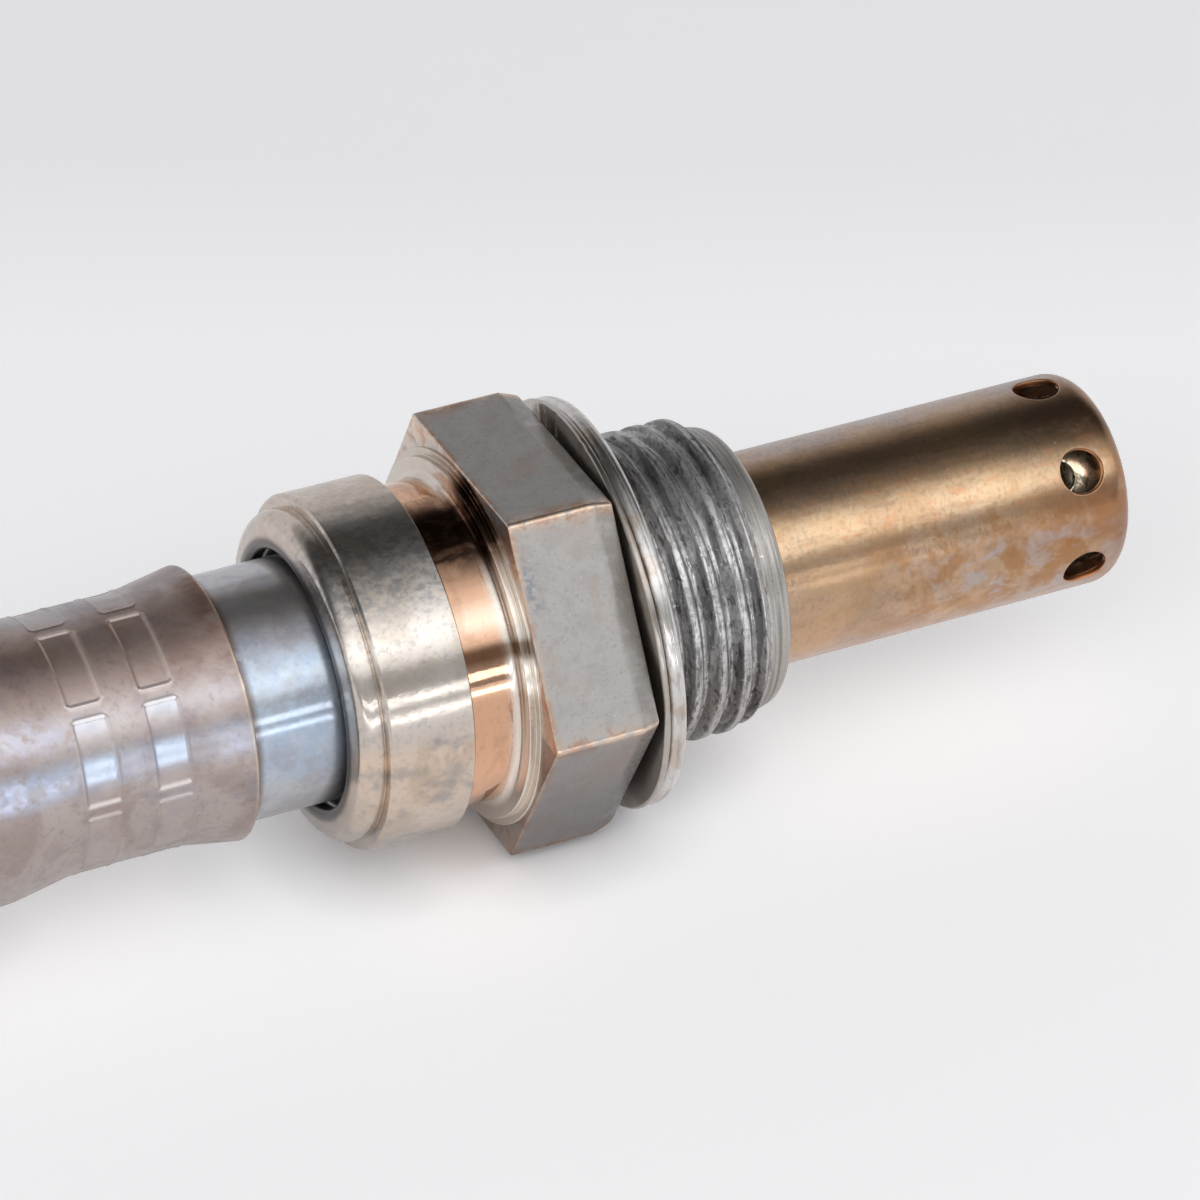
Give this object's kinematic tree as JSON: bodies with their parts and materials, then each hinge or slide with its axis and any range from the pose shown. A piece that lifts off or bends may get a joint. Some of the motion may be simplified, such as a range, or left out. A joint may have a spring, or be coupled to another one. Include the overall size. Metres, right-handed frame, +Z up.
{
  "type": "oxygen sensor",
  "caption": "Heated exhaust oxygen sensor: perforated protector tube, M18 thread with crush gasket, 22 mm hex, rolled collar, crimped sleeve and grommet.",
  "frame": {"origin": "on the sensor's axis, in the front (sealing) face of the gasket", "axes": "+X along the axis towards the gas end (the perforated protector), +Z up, with one wrench flat facing down (-Z)"},
  "size_m": [0.083, 0.0254, 0.0236],
  "materials": {
    "shell_steel": "turned mild steel, nickel plated, satin",
    "gasket_steel": "folded steel sheet, bright with worn edges",
    "protector_steel": "drawn stainless steel, heat tinted bronze",
    "inner_protector_steel": "drawn stainless steel, lightly heat tinted",
    "casing_steel": "drawn stainless steel, heat tinted pale blue",
    "sleeve_steel": "drawn stainless steel, heat tinted mauve brown, satin",
    "packing_steel": "annealed steel wire",
    "zirconia": "fired zirconia, matt",
    "alumina": "fired alumina, matt",
    "talc": "pressed talc powder",
    "ptfe": "porous PTFE",
    "grommet_rubber": "moulded fluororubber, matt black",
    "contact_alloy": "nickel alloy strip",
    "terminal_brass": "nickel-plated brass"
  },
  "bodies": {
    "root": {"metal_shell": "shell_steel", "gasket_ring": "gasket_steel", "outer_protector": "protector_steel", "inner_protector": "inner_protector_steel", "seat_ring": "packing_steel", "sensing_element": "zirconia", "talc_ring": "talc", "insulator": "alumina", "packing_ring": "packing_steel", "inner_casing": "casing_steel", "vent_filter": "ptfe", "outer_sleeve": "sleeve_steel", "rear_grommet": "grommet_rubber", "terminal_separator": "alumina", "spring_washer": "contact_alloy", "heater_rod": "alumina", "inner_electrode_contact": "contact_alloy", "heater_contact_1": "contact_alloy", "outer_electrode_contact": "contact_alloy", "heater_contact_2": "contact_alloy", "lead_terminal_1": "terminal_brass", "lead_terminal_2": "terminal_brass", "lead_terminal_3": "terminal_brass", "lead_terminal_4": "terminal_brass"}
  },
  "joints": []
}
